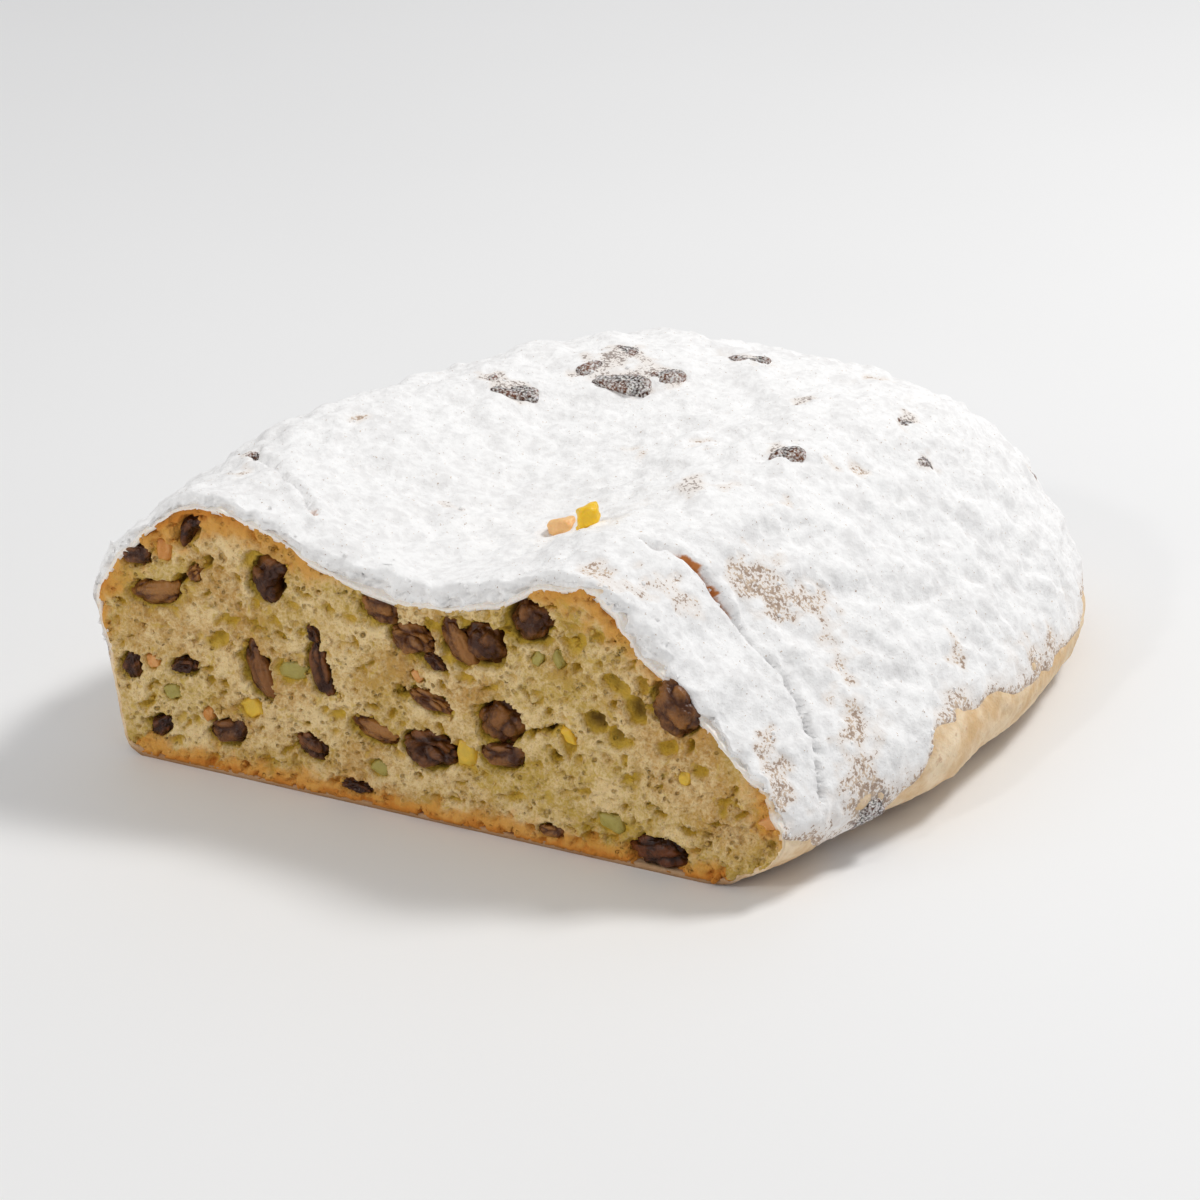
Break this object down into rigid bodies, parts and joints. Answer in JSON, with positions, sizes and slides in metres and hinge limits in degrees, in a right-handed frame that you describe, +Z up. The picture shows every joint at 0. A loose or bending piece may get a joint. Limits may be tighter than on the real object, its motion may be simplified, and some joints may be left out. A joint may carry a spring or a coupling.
{
  "type": "cut stollen loaf",
  "caption": "Folded fruit loaf, sliced square across at one end and rounded at the other, dusted thickly with icing sugar and flat underneath.",
  "frame": {"origin": "middle of the bounding box in X and Y, on the table under the loaf", "axes": "+X along the cut, from the tall fold to the low one; +Y from the cut to the rounded end; +Z up"},
  "size_m": [0.17, 0.157, 0.0621],
  "materials": {
    "sugared_crust": "powdery icing sugar over a baked crust, soft and without gloss",
    "icing_sugar": "thick pressed icing sugar, powdery and matte",
    "crust": "pale tan baked crust, dry and slightly rough",
    "crumb": "pale yellow buttery crumb with small pores",
    "raisin": "dark brown wrinkled skin, with a sticky half gloss",
    "lemon_peel": "candied yellow peel, waxy",
    "orange_peel": "candied orange peel, waxy",
    "green_peel": "candied green citron, waxy"
  },
  "bodies": {
    "root": {"loaf": "sugared_crust"}
  },
  "joints": []
}
